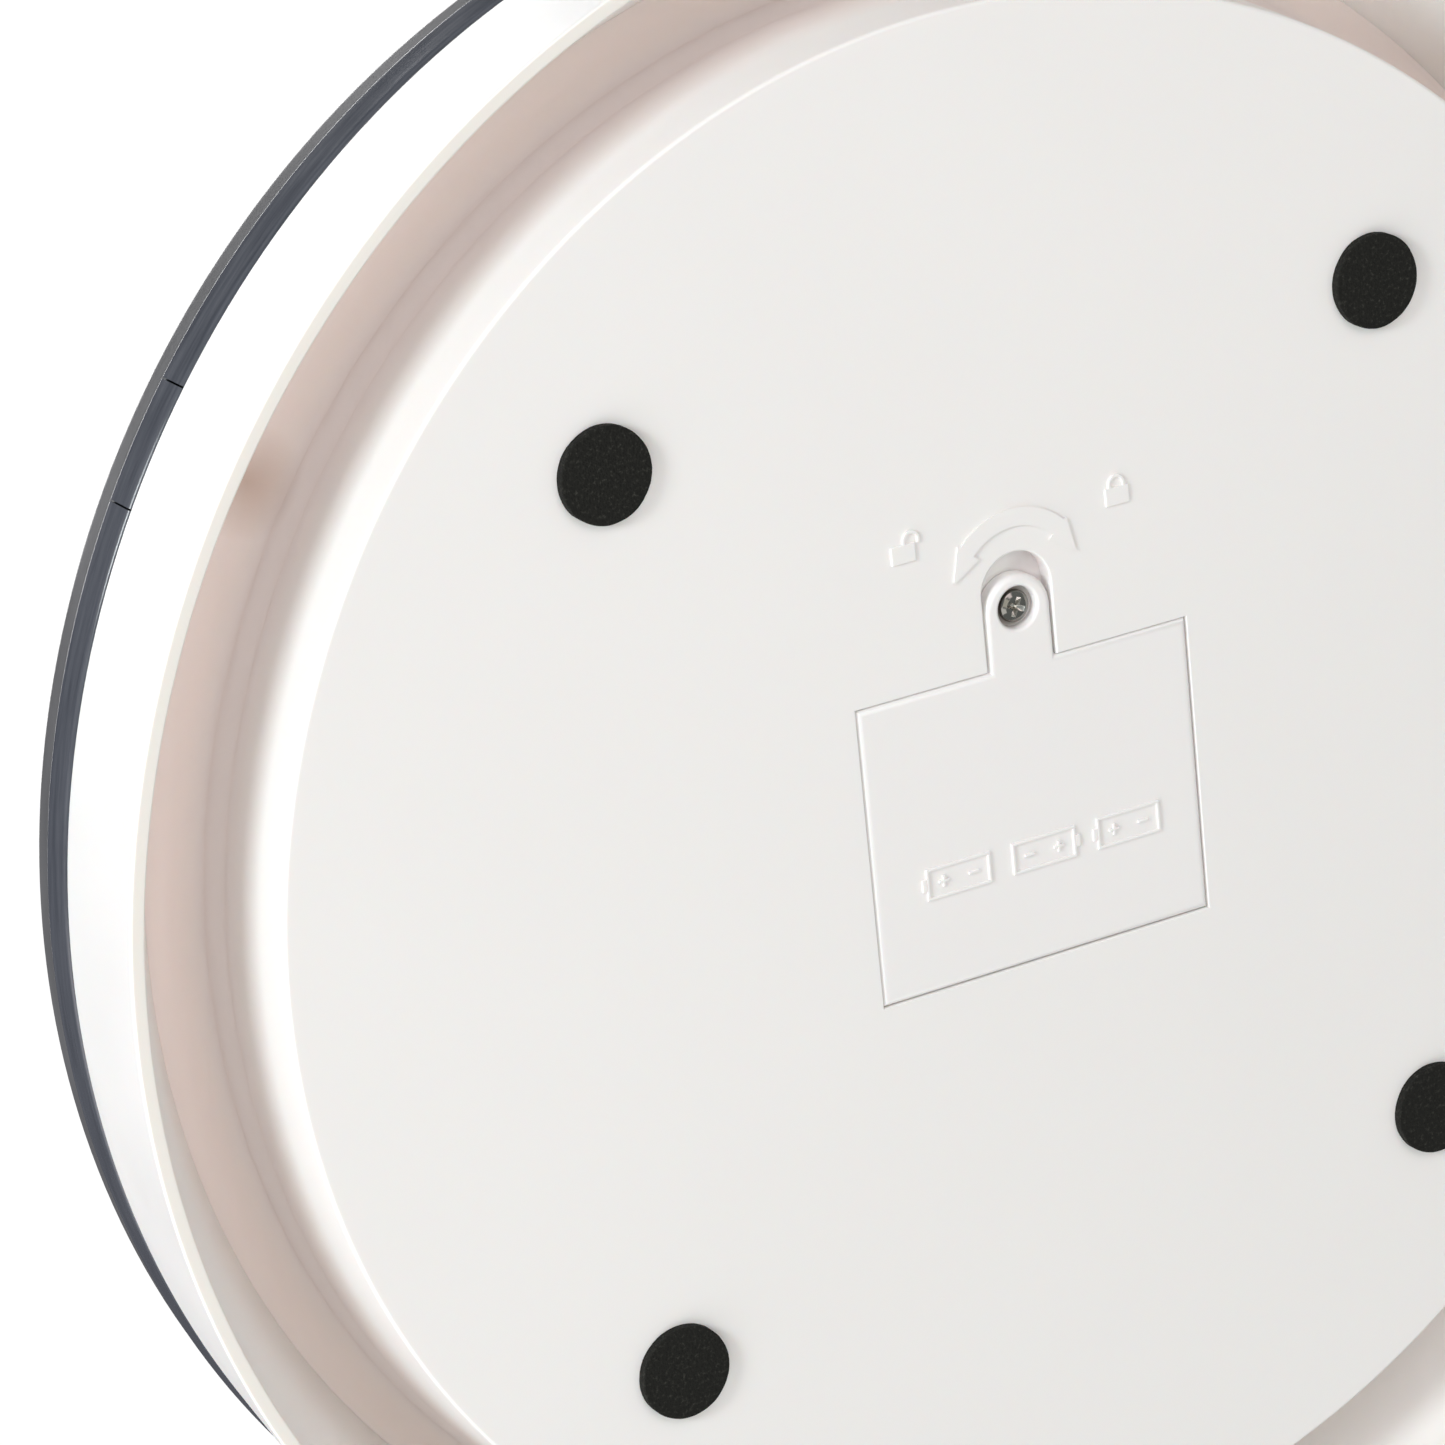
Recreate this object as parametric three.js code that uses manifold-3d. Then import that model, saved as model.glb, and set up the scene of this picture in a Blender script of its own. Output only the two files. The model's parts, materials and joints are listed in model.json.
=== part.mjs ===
// A round digital bathroom scale, standing on its four foam feet.
// Millimetres, +Z up. The origin is on the floor, under the middle of the scale.
// The white base holds the batteries. The glass platform rides on four load cells
// that stand on posts in the base, each post straight above a foot.

import * as THREE from 'three';
import { mergeVertices } from 'three/addons/utils/BufferGeometryUtils.js';
import Module from 'manifold-3d';

const wasm = await Module();
wasm.setup();

// ---- driving dimensions -----------------------------------------------------------------
const RING_STEPS = 60;            // facets round the large rings
const SMALL_STEPS = 20;           // facets round small turned pieces
const GAP = 0.3;                  // clearance between pieces that fit round each other
const SINK = 0.5;                 // how far a shape runs into the one it is joined to
const RIB_T = 1.8;                // ribs, gussets and webs

const FOOT = { r: 7.5, t: 1.5 };
const FOOT_PLACES = [[-67.7, -71.6], [69.4, -70.3], [-71, 72.7], [70.5, 70.7]];

const FLOOR_T = 2.5;              // wall under the battery box and the posts
const FACE_Z = FOOT.t;            // underside of the base
const INSIDE_Z = FACE_Z + FLOOR_T;
const DISC_R = 128.2;             // flat underside
const DISC_TOP_R = 130;           // the same wall, drafted, where its fillet starts
const CEILING_Z = 30.25;          // top of the channel round the disc
const FILLET_R = 4.75;
const FLANGE_R = 137.25;
const FLANGE_TOP_Z = 32.5;

const SKIRT_IN_R = 137.5;         // top of the sloping wall inside the channel
const LIP_IN_R = 149.6;
const LIP_OUT_R = 151.4;
const LIP_Z = 3.1;                // lowest point of the lip
const RIM_R = 148.15;
const RIM_Z = 34.25;
const SKIRT_WALL = 2.1;
const SKIRT_CORE = { x: 0.35, z0: 12.5, z1: 14 };  // bottom of the hollow between the two walls
const SKIRT_LEDGE_R = 134.5;      // the skirt's ledge lies on the pan's flange

const BAND = { r: 148.1, inR: 145.6, z0: 35, z1: 41.75, edge: 1.1 };
const JOINER = { from: -150.4, to: -142.7 };      // degrees round +Z
const TRAY = { r: 145.3, z0: 39.25, z1: 41.5, wall: 2.4, wallZ: 36 };
const GLASS = { r: 147.4, z0: 42, z1: 47, bevel: 0.5 };
const PLATFORM_TRAVEL = 0.5;

const COVER = { x: 0.5, w: 60, d: 48.8, t: 2.25, gap: 0.4 };
const TAB = { w: 11.8, t: 2.6, y: -33.5 };        // the screw stands at the tab's round end
const RECESS = { y: -36.65, r: 6.2, depth: 2.8 }; // finger recess beyond the tab
const TONGUE = { x: 18, w: 8, t: 1.2, out: 3.1, z: 4.3 };

const CELL = { r: 7.1, l: 49.5, nubR: 2.7, nub: 1, pitch: 15.2, z: 11.75 };
const POCKET = { l: 57.6, w: 46.4, z1: 20, wall: 2 };             // inside of the battery box
const COLLAR = { w: 66, d: 55, z1: 7 };           // thick floor round the cover's rebate
const CONTACT = { t: 0.5, w: 12, z0: 6, z1: 18, tabW: 3.5, tabOut: 3.5 };
const SPRING = { r: 4.6, tipR: 2.4, turns: 2.5, wireR: 0.35 };

const SCREW = { headR: 2.2, headT: 1.3, r: 1.1, headZ: 3.05, tip: 11.5 };
const DISH = { r: 2.9, mouthR: 3.3 };             // seat of the screw's head in the cover
const RETAINER = { z: 7.35, t: 0.6, r: 2.3 };
const SCREW_BORE = { r: 3, z1: 8.3 };
const BOSS_R = 8.5;               // round the insert
const INSERT = { r: 3.2, boreR: 1.75, z0: 8.5, z1: 13 };

const POST = { x: 70, y: 71.5, r: 5, z1: 27, ribL: 24, ribZ: 15, webZ: 10, socketR: 3.2 };
const SENSOR = { side: 34, t: 2, z0: 34.25, holder: 38, roomSide: 20, roomT: 1.5 };
const BUTTON_TOP_Z = SENSOR.z0 - PLATFORM_TRAVEL - 0.1;
const STUDS = [[104, 22], [-104, 22], [40, -100], [-40, -100]];   // shoulder screws
const STUD = { postR: 4.5, postZ: 36.25, boreR: 1.9, holeR: 2.4, headR: 4.2, seatZ: 39.75 };

const DISPLAY_Y = 93;
const LCD = { w: 74, d: 32, z0: 38.5, z1: 41.75 };
const BOARD = { w: 90, d: 40, z0: 34.5, t: 1.6, screwX: 41, screwY: 15, postR: 2.8 };
const CABLE = { z: 35.25, r: 0.9, leadR: 0.8 };

// ---- shapes -----------------------------------------------------------------------------
// Shared corners, no zero-area faces, and every face pointing out.
function weld(geometry) {
  geometry.deleteAttribute('normal');
  geometry.deleteAttribute('uv');
  const welded = mergeVertices(geometry, 1e-4);
  const place = welded.getAttribute('position');
  const corner = (index) => new THREE.Vector3().fromBufferAttribute(place, index);
  const faces = [];
  let volume = 0;
  for (let i = 0; i < welded.index.count; i += 3) {
    const [a, b, c] = [0, 1, 2].map((k) => welded.index.getX(i + k));
    if (a === b || b === c || c === a) continue;
    volume += corner(a).dot(corner(b).cross(corner(c)));
    faces.push(a, b, c);
  }
  welded.setIndex(volume < 0 ? faces.reverse() : faces);
  return welded;
}

function solid(geometry) {
  const welded = weld(geometry);
  return new wasm.Manifold(new wasm.Mesh({
    numProp: 3,
    vertProperties: welded.getAttribute('position').array,
    triVerts: new Uint32Array(welded.index.array),
  }));
}

function toGeometry(shape) {
  const mesh = shape.getMesh();
  const geometry = new THREE.BufferGeometry();
  geometry.setAttribute('position', new THREE.BufferAttribute(mesh.vertProperties, 3));
  geometry.setIndex(new THREE.BufferAttribute(mesh.triVerts, 1));
  geometry.computeVertexNormals();
  return geometry;
}

const join = (shapes) => shapes.reduce((whole, shape) => whole.add(shape));
const cut = (whole, shapes) => shapes.reduce((rest, shape) => rest.subtract(shape), whole);

// A box from its middle in x and y, its sides, and its bottom and top.
function block(x, y, width, depth, z0, z1) {
  const geometry = new THREE.BoxGeometry(width, depth, z1 - z0);
  return solid(geometry.translate(x, y, (z0 + z1) / 2));
}

function rod(x, y, radius, z0, z1, steps = SMALL_STEPS) {
  const geometry = new THREE.CylinderGeometry(radius, radius, z1 - z0, steps);
  return solid(geometry.rotateX(Math.PI / 2).translate(x, y, (z0 + z1) / 2));
}

// A profile of [radius, height] points turned round an upright axis.
function turned(profile, steps = RING_STEPS, axisX = 0, axisY = 0) {
  const points = profile.map(([r, z]) => new THREE.Vector2(r, z));
  const geometry = new THREE.LatheGeometry(points, steps).rotateX(Math.PI / 2);
  return solid(geometry.translate(axisX, axisY, 0));
}

const ring = (profile, steps) => turned([...profile, profile[0]], steps);

function slab(shape, z0, z1, curveSegments = 8) {
  const options = { depth: z1 - z0, bevelEnabled: false, curveSegments };
  return solid(new THREE.ExtrudeGeometry(shape, options).translate(0, 0, z0));
}

function arc(x, z, radius, from, to, steps) {
  return Array.from({ length: steps + 1 }, (_, i) => {
    const angle = THREE.MathUtils.degToRad(from + (to - from) * i / steps);
    return [x + radius * Math.cos(angle), z + radius * Math.sin(angle)];
  });
}

// A bar with one round end: from y = back to the middle of the round end.
function tabOutline(x, width, back, endY) {
  const shape = new THREE.Shape();
  shape.moveTo(x - width / 2, back);
  shape.lineTo(x - width / 2, endY);
  shape.absarc(x, endY, width / 2, Math.PI, 2 * Math.PI, false);
  shape.lineTo(x + width / 2, back);
  return shape;
}

// A round wire through a list of points, closed at both ends.
function wire(points, radius, steps, sides = 6) {
  const curve = new THREE.CatmullRomCurve3(points.map((p) => new THREE.Vector3(...p)));
  return tube(curve, radius, steps, sides);
}

function tube(curve, radius, steps, sides) {
  const section = new THREE.Shape();
  for (let i = 0; i < sides; i += 1) {
    const angle = 2 * Math.PI * i / sides;
    const put = i === 0 ? 'moveTo' : 'lineTo';
    section[put](radius * Math.cos(angle), radius * Math.sin(angle));
  }
  return solid(new THREE.ExtrudeGeometry(section, { steps, extrudePath: curve }));
}

// ---- materials --------------------------------------------------------------------------
function finish(color, roughness, metalness = 0) {
  return new THREE.MeshStandardMaterial({ color, roughness, metalness });
}

const WHITE = finish(0xe9e8e4, 0.42);
const COVER_WHITE = finish(0xe9e5e1, 0.45);
const FOAM = finish(0x2b2b28, 0.95);
const BAND_GREY = finish(0x5b5f66, 0.25);
const TRAY_BLACK = finish(0x242528, 0.6);
const GLASS_DARK = finish(0x4a4d50, 0.15);
const STEEL = finish(0xa8a9a8, 0.35, 1);
const NICKEL = finish(0xc7c6c2, 0.28, 1);
const BRASS = finish(0xb8934a, 0.4, 1);
const HOLDER_GREY = finish(0x3a3c3f, 0.6);
const BOARD_GREEN = finish(0x1e5a3a, 0.5);
const LCD_GREY = finish(0x8f998c, 0.25);
const GUIDE_WHITE = finish(0xf3f3ee, 0.5);
const CELL_WRAP = finish(0x35506e, 0.35, 0.2);
const TAPE_BLACK = finish(0x1b1b1c, 0.9);
const NYLON = finish(0xe4e0d3, 0.5);
const RED = finish(0xa02622, 0.5);
const BLACK = finish(0x1c1c1c, 0.5);
const CABLE_GREY = finish(0x77787a, 0.55);

// ---- the base ---------------------------------------------------------------------------
function batteryBox() {
  const { l, w, z1, wall } = POCKET;
  const collar = block(COVER.x, 0, COLLAR.w, COLLAR.d, INSIDE_Z - SINK, COLLAR.z1);
  const walls = block(COVER.x, 0, l + 2 * wall, w + 2 * wall, COLLAR.z1 - 2 * SINK, z1 + wall);
  return collar.add(walls);
}

// The cover's rebate, the cells' pocket, the finger recess and the slots for tongues and contacts.
function batteryOpening() {
  const rebate = block(COVER.x, 0, COVER.w + 2 * COVER.gap, COVER.d + 2 * COVER.gap, 0, INSIDE_Z);
  const pocket = block(COVER.x, 0, POCKET.l, POCKET.w, INSIDE_Z - 1, POCKET.z1);
  const recessOutline = tabOutline(COVER.x, 2 * RECESS.r, -POCKET.w / 2 + 1, RECESS.y);
  const recess = slab(recessOutline, 0, FACE_Z + RECESS.depth, 10);
  const tongues = [-1, 1].map((side) => {
    const y = COVER.d / 2 + 1;
    return block(COVER.x + side * TONGUE.x, y, TONGUE.w + 1, 8, INSIDE_Z, COLLAR.z1 + 0.25);
  });
  const tabs = [-1, 1].map((side) => {
    const x = COVER.x + side * (POCKET.l / 2 - CONTACT.t / 2);
    return block(x, side * CELL.pitch, 1.2, CONTACT.tabW + 1.5, POCKET.z1 - 1, POCKET.z1 + 3);
  });
  return [rebate, pocket, recess, ...tongues, ...tabs];
}

function gussetPost(x, y) {
  const { r, z1, ribL, ribZ } = POST;
  const post = rod(x, y, r, INSIDE_Z - SINK, z1);
  const long = block(x, y, ribL, RIB_T, INSIDE_Z - SINK, ribZ);
  const cross = block(x, y, RIB_T, ribL, INSIDE_Z - SINK, ribZ);
  return join([post, long, cross]);
}

function postPlaces() {
  return [[-1, -1], [1, -1], [-1, 1], [1, 1]].map(([sx, sy]) => [sx * POST.x, sy * POST.y]);
}

// A raised double-headed arrow round the finger recess shows which way the screw turns.
function turnArrow() {
  const [inner, outer] = [10.5, 12.55];
  const [barbIn, barbOut] = [9, 13.1];
  const [tip, barb, stemStart] = [18, 43, 44];      // degrees below the +X axis
  const at = (radius, degrees) => {
    const angle = THREE.MathUtils.degToRad(degrees);
    return new THREE.Vector2(COVER.x + radius * Math.cos(angle), RECESS.y - radius * Math.sin(angle));
  };
  const head = [at(barbOut, barb), at((inner + outer) / 2, tip), at(barbIn, barb + 1.5)];
  const mirrored = head.map(({ x, y }) => new THREE.Vector2(2 * COVER.x - x, y)).reverse();
  const stem = Array.from({ length: 9 }, (_, i) => 180 - stemStart - (180 - 2 * stemStart) * i / 8);
  const outerStem = stem.map((degrees) => at(outer, degrees));
  const innerStem = stem.map((degrees) => at(inner, degrees)).reverse();
  const outline = [...outerStem, ...head, ...innerStem, ...mirrored];
  return slab(new THREE.Shape(outline), FACE_Z - 0.25, FACE_Z + 0.3);
}

function basePan() {
  const inset = FLOOR_T - 0.3;
  const filletX = DISC_TOP_R + FILLET_R;
  const filletZ = CEILING_Z - FILLET_R;
  const shell = turned([
    [0, FACE_Z], [DISC_R - 0.7, FACE_Z], [DISC_R - 0.2, FACE_Z + 0.2], [DISC_R, FACE_Z + 0.8],
    ...arc(filletX, filletZ, FILLET_R, 180, 90, 5),
    [FLANGE_R, CEILING_Z], [FLANGE_R, FLANGE_TOP_Z], [filletX - 2.2, FLANGE_TOP_Z],
    [DISC_TOP_R - inset, CEILING_Z - 2.5], [DISC_R - inset, INSIDE_Z], [0, INSIDE_Z],
  ]);
  const foot = INSIDE_Z - SINK;
  const screwBoss = rod(COVER.x, TAB.y, BOSS_R, foot, INSERT.z1);
  const padOutline = tabOutline(COVER.x, 2 * RECESS.r + 5, -POCKET.w / 2, RECESS.y);
  const recessPad = slab(padOutline, foot, COLLAR.z1 - SINK, 10);
  const posts = postPlaces().map(([x, y]) => gussetPost(x, y));
  const studs = STUDS.map(([x, y]) => rod(x, y, STUD.postR, foot, STUD.postZ, 16));
  const webs = [-1, 1].map((side) => block(side * POST.x, 0, RIB_T, 2 * POST.y, foot, POST.webZ));
  const blocks = [batteryBox(), screwBoss, recessPad, turnArrow()];
  const body = join([shell, ...blocks, ...posts, ...studs, ...webs]);
  const sockets = postPlaces().map(([x, y]) => rod(x, y, POST.socketR, POST.z1 - 3, POST.z1 + 1, 16));
  const studBores = STUDS.map(([x, y]) => rod(x, y, STUD.boreR, STUD.postZ - 10, STUD.postZ + 1, 12));
  const screwBore = rod(COVER.x, TAB.y, SCREW_BORE.r, FACE_Z + SINK, SCREW_BORE.z1);
  const insertBore = rod(COVER.x, TAB.y, INSERT.r + GAP, SCREW_BORE.z1 - 1, INSERT.z1 + 1);
  return cut(body, [...batteryOpening(), ...sockets, ...studBores, screwBore, insertBore]);
}

// The double-walled skirt: a sloping wall inside the channel, the lip and the outer wall.
function skirtRing() {
  const lipMid = (LIP_IN_R + LIP_OUT_R) / 2;
  const half = (LIP_OUT_R - LIP_IN_R) / 2;
  const hollowOutR = RIM_R - SKIRT_WALL;
  const hollowInR = SKIRT_IN_R + SKIRT_WALL;
  const { x, z0, z1 } = SKIRT_CORE;
  return ring([
    [SKIRT_IN_R, CEILING_Z],
    [LIP_IN_R, LIP_Z + half], ...arc(lipMid, LIP_Z + half, half, 225, 315, 2), [LIP_OUT_R, LIP_Z + half],
    [RIM_R, RIM_Z - 0.8], [RIM_R - 0.5, RIM_Z],
    [hollowOutR, RIM_Z], [hollowOutR + 5 * x, z1], [hollowOutR + 4 * x, z0],
    [hollowInR + 0.4, RIM_Z - 2.75], [hollowInR - 0.6, RIM_Z],
    [SKIRT_LEDGE_R, RIM_Z], [SKIRT_LEDGE_R, FLANGE_TOP_Z], [SKIRT_IN_R, FLANGE_TOP_Z],
  ]);
}

function foamFoot() {
  const { r, t } = FOOT;
  return turned([[0, 0], [r - 0.15, 0], [r, 0.2], [r, t], [0, t]], SMALL_STEPS);
}

function insert() {
  const { r, boreR, z0, z1 } = INSERT;
  return ring([[boreR, z0], [r, z0], [r, z1], [boreR, z1]], SMALL_STEPS);
}

// ---- the battery cover and its screw ------------------------------------------------------
function batteryCover() {
  const edge = COVER.d / 2;
  const inner = FACE_Z + COVER.t - 0.2;
  const panel = block(COVER.x, 0, COVER.w, COVER.d, FACE_Z, FACE_Z + COVER.t);
  const tab = slab(tabOutline(COVER.x, TAB.w, -edge + 4, TAB.y), FACE_Z, FACE_Z + TAB.t, 10);
  const ribs = [-1, 1].map((side) => block(COVER.x + 16 * side, 0, 1.6, 40, inner, 4.4));
  const tongues = [-1, 1].flatMap((side) => {
    const x = COVER.x + side * TONGUE.x;
    const top = TONGUE.z + TONGUE.t;
    const root = block(x, edge - 2.4, TONGUE.w, 2.4, inner, top);
    const tongue = block(x, edge + TONGUE.out / 2 - 1.5, TONGUE.w, TONGUE.out + 3, TONGUE.z, top);
    return [root, tongue];
  });
  const body = join([panel, tab, ...ribs, ...tongues]);
  const { r, mouthR } = DISH;
  const dish = turned([
    [0, 0], [mouthR, 0], [mouthR, FACE_Z], [r, FACE_Z + 0.4], [r, SCREW.headZ], [0, SCREW.headZ],
  ], 24, COVER.x, TAB.y);
  const hole = rod(COVER.x, TAB.y, SCREW.r + 0.4, 0, FACE_Z + 2 * TAB.t);
  return cut(body, [dish, hole]);
}

function crossHeadScrew({ headR, headT, r, headZ, tip }) {
  const domeZ = headZ - headT;
  const body = turned([
    [0, domeZ], [headR * 0.55, domeZ + 0.08], [headR * 0.88, domeZ + 0.4], [headR, domeZ + 0.75],
    [headR, headZ], [r, headZ], [r, tip - 1.2], [0.3, tip], [0, tip],
  ], 16);
  const slots = [[2.3, 0.55], [0.55, 2.3]].map(([w, d]) => block(0, 0, w, d, domeZ - 1, domeZ + 0.75));
  return cut(body, slots);
}

function retainer() {
  const { z, t, r } = RETAINER;
  return ring([[SCREW.r + 0.15, z], [r, z], [r, z + t], [SCREW.r + 0.15, z + t]], 16);
}

// ---- batteries and contacts ---------------------------------------------------------------
// A cell lies along X. Its positive end points to +X when `sign` is 1.
function cell(sign) {
  const { r, l, nubR, nub } = CELL;
  const half = (l + nub) / 2;
  const profile = [
    [0, -half], [r - 0.9, -half], [r - 0.3, -half + 0.3], [r, -half + 0.9], [r, half - nub - 0.9],
    [r - 0.4, half - nub], [nubR, half - nub], [nubR, half], [0, half],
  ];
  const points = profile.map(([radius, x]) => new THREE.Vector2(radius, x));
  const geometry = new THREE.LatheGeometry(points, 18).rotateZ(-Math.PI / 2);
  return solid(sign > 0 ? geometry : geometry.rotateZ(Math.PI));
}

// The line of a spring that narrows from the contact plate at `x` to its tip at `toX`.
class ConeCoil extends THREE.Curve {
  constructor(x, y, z, toX) {
    super();
    Object.assign(this, { x, y, z, toX });
  }

  getPoint(t, target = new THREE.Vector3()) {
    const radius = SPRING.r + (SPRING.tipR - SPRING.r) * t;
    const angle = 2 * Math.PI * SPRING.turns * t;
    const x = this.x + (this.toX - this.x) * t;
    return target.set(x, this.y + radius * Math.cos(angle), this.z + radius * Math.sin(angle));
  }
}

const POCKET_END = POCKET.l / 2;
const CELL_SHIFT = POCKET_END - CONTACT.t - GAP - (CELL.l + CELL.nub) / 2;

// A contact plate on the wall at `side` (-1 or 1). Springs push on the cells' flat ends.
function contact(side, y, width, springY, leadY) {
  const wall = COVER.x + side * POCKET_END;
  const x = wall - side * CONTACT.t / 2;
  const parts = [block(x, y, CONTACT.t, width, CONTACT.z0, CONTACT.z1)];
  if (springY !== null) {
    const start = wall - side * (CONTACT.t - 0.05);
    const end = wall - side * (2 * CELL_SHIFT + CONTACT.t + 0.1);
    parts.push(tube(new ConeCoil(start, springY, CELL.z, end), SPRING.wireR, 24, 5));
  }
  if (leadY !== null) {
    parts.push(block(x, leadY, CONTACT.t, CONTACT.tabW, CONTACT.z1 - 1, POCKET.z1 + CONTACT.tabOut));
  }
  return join(parts);
}

// ---- load cells ---------------------------------------------------------------------------
function sensorHolder() {
  const top = TRAY.z0;
  const body = block(0, 0, SENSOR.holder, SENSOR.holder, SENSOR.z0 - 0.5, top);
  const seat = SENSOR.side + 2 * GAP;
  const pocket = block(0, 0, seat, seat, SENSOR.z0 - 1, SENSOR.z0 + SENSOR.t);
  const { z0, t, roomSide, roomT } = SENSOR;
  return cut(body, [pocket, block(0, 0, roomSide, roomSide, z0, z0 + t + roomT)]);
}

// A steel plate with a U-shaped cut, which leaves the middle free to bend.
function sensorPlate() {
  const { side, t, z0 } = SENSOR;
  const [slot, reach, armX] = [2.5, 20, 8.5];
  const plate = block(0, 0, side, side, z0, z0 + t);
  const arms = [-1, 1].map((s) => block(s * armX, -1, slot, reach, z0 - 1, z0 + t + 1));
  const across = block(0, -9.75, 2 * armX + slot, slot, z0 - 1, z0 + t + 1);
  return cut(plate, [...arms, across]);
}

function loadButton() {
  const base = POST.z1;
  const spigot = base - 2.75;
  return turned([
    [0, spigot], [2.9, spigot], [2.9, base], [5.5, base], [5.5, base + 2], [4, base + 3],
    [3.2, BUTTON_TOP_Z - 0.4], [2.4, BUTTON_TOP_Z], [0, BUTTON_TOP_Z],
  ], 14);
}

// ---- the platform -------------------------------------------------------------------------
function tray() {
  const { r, z0, z1, wall, wallZ } = TRAY;
  const plate = turned([
    [0, z0], [r - wall, z0], [r - wall, wallZ], [r, wallZ], [r, z1], [0, z1],
  ]);
  const ribAngles = [0, 20, 160, 180, 200, 255, 270, 285, 340];
  const ribs = ribAngles.map((degrees) => {
    const geometry = new THREE.BoxGeometry(114, RIB_T, 2.75).translate(87, 0, z0 - 0.875);
    return solid(geometry.rotateZ(THREE.MathUtils.degToRad(degrees)));
  });
  const top = z0 + SINK;
  const hub = ring([[29, 37], [31, 37], [31, top], [29, top]], 36);
  const bosses = STUDS.map(([x, y]) => rod(x, y, 7, 37.25, top));
  const boardTop = BOARD.z0 + BOARD.t;
  const boardPosts = boardScrewPlaces().map(([x, y]) => rod(x, y, BOARD.postR, boardTop, top, 12));
  const body = join([plate, ...ribs, hub, ...bosses, ...boardPosts]);
  const window = block(0, DISPLAY_Y, LCD.w + 1.5, LCD.d + 1.5, 36, 43);
  const shanks = STUDS.map(([x, y]) => rod(x, y, STUD.holeR, 36, 43, 16));
  const heads = STUDS.map(([x, y]) => rod(x, y, STUD.headR + 0.55, STUD.seatZ - 0.25, 43));
  const pilots = boardScrewPlaces().map(([x, y]) => rod(x, y, 1.3, 36, 39, 12));
  return cut(body, [window, ...shanks, ...heads, ...pilots]);
}

function bandProfile() {
  const { r, inR, z0, z1, edge } = BAND;
  return [[inR, z0], [r - edge, z0], [r - edge * 0.3, z0 + edge * 0.3], [r, z0 + edge], [r, z1], [inR, z1]];
}

// The stretch of the band between two angles, which the joiner fills.
function bandWedge(from, to) {
  const points = [from, to].map((degrees) => {
    const angle = THREE.MathUtils.degToRad(degrees);
    return new THREE.Vector2(170 * Math.cos(angle), 170 * Math.sin(angle));
  });
  return slab(new THREE.Shape([new THREE.Vector2(0, 0), ...points]), BAND.z0 - 1, BAND.z1 + 1);
}

function trimBand() {
  return ring(bandProfile()).subtract(bandWedge(JOINER.from, JOINER.to));
}

function bandJoiner() {
  const slack = THREE.MathUtils.radToDeg(GAP / BAND.r);
  return ring(bandProfile()).intersect(bandWedge(JOINER.from + slack, JOINER.to - slack));
}

function glass() {
  const { r, z0, z1, bevel } = GLASS;
  return turned([[0, z0], [r - bevel, z0], [r, z0 + bevel], [r, z1 - bevel], [r - bevel, z1], [0, z1]]);
}

function adhesive() {
  return ring([[124, TRAY.z1], [143, TRAY.z1], [143, GLASS.z0], [124, GLASS.z0]], 40);
}

function shoulderScrew() {
  const { headR, seatZ } = STUD;
  const shoulderZ = STUD.postZ + 0.25;
  return turned([
    [0, 28], [1.6, 28], [1.6, shoulderZ], [2, shoulderZ], [2, seatZ],
    [headR, seatZ], [headR, seatZ + 1], [headR - 0.8, seatZ + 1.4], [0, seatZ + 1.4],
  ], 12);
}

function boardScrewPlaces() {
  const { screwX, screwY } = BOARD;
  return [[-1, -1], [1, -1], [-1, 1], [1, 1]].map(([sx, sy]) => [sx * screwX, DISPLAY_Y + sy * screwY]);
}

function mainBoard() {
  const { w, d, z0, t } = BOARD;
  const parts = [
    block(0, DISPLAY_Y, w, d, z0, z0 + t),
    block(-14, DISPLAY_Y + 4, 9, 9, z0 - 1.5, z0 + 0.2),
    block(10, DISPLAY_Y + 6, 14, 7, z0 - 1.25, z0 + 0.2),
    block(0, DISPLAY_Y - 13, 30, 6, z0 - 4, z0 + 0.2),
    rod(26, DISPLAY_Y - 4, 3, z0 - 5, z0 + 0.2, 12),
  ];
  const holes = boardScrewPlaces().map(([x, y]) => rod(x, y, 1.4, z0 - 1, z0 + t + 1, 12));
  return cut(join(parts), holes);
}

function boardScrew() {
  const z = BOARD.z0;
  return turned([[0, z - 1.3], [1.4, z - 1.3], [2, z - 0.7], [2, z], [1, z], [1, z + 3.6], [0, z + 4]], 10);
}

// ---- cables ---------------------------------------------------------------------------------
function sensorCable(side, far) {
  const start = SENSOR.holder / 2 + GAP;
  const edge = BOARD.w / 2 + GAP;
  const { z, r } = CABLE;
  if (far) {
    const from = POST.x - start;
    return wire([[side * from, 76, z], [side * (from - 1.5), 76.4, z], [side * 48.3, 80, z],
      [side * (edge + 1.2), 83.6, z], [side * edge, 84, z]], r, 12);
  }
  const y = -POST.y + start;
  const boardY = DISPLAY_Y - BOARD.d / 2 - GAP;
  return wire([[side * POST.x, y, z], [side * POST.x, y + 6, z], [side * 64, -30, z], [side * 48, 0, z],
    [side * 40, 36, z], [side * 37, boardY - 6, z], [side * 37, boardY, z]], r, 20);
}

function batteryLead(side) {
  const x = COVER.x + side * (POCKET_END - CONTACT.t / 2);
  const y = side * CELL.pitch;
  const z = POCKET.z1 + CONTACT.tabOut + GAP;
  const boardY = DISPLAY_Y - BOARD.d / 2 - 2 * PLATFORM_TRAVEL;
  return wire([[x, y, z], [x, y, z + 3], [side * 25, y + 12, 30], [side * 17, 45, 33],
    [side * 12, boardY - 6, CABLE.z], [side * 12, boardY, CABLE.z]], CABLE.leadR, 20);
}

// ---- assembly -------------------------------------------------------------------------------
const scale = new THREE.Group();

function add(name, shape, material, x = 0, y = 0, z = 0) {
  const mesh = new THREE.Mesh(toGeometry(shape), material);
  mesh.name = name;
  mesh.position.set(x, y, z);
  scale.add(mesh);
}

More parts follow.
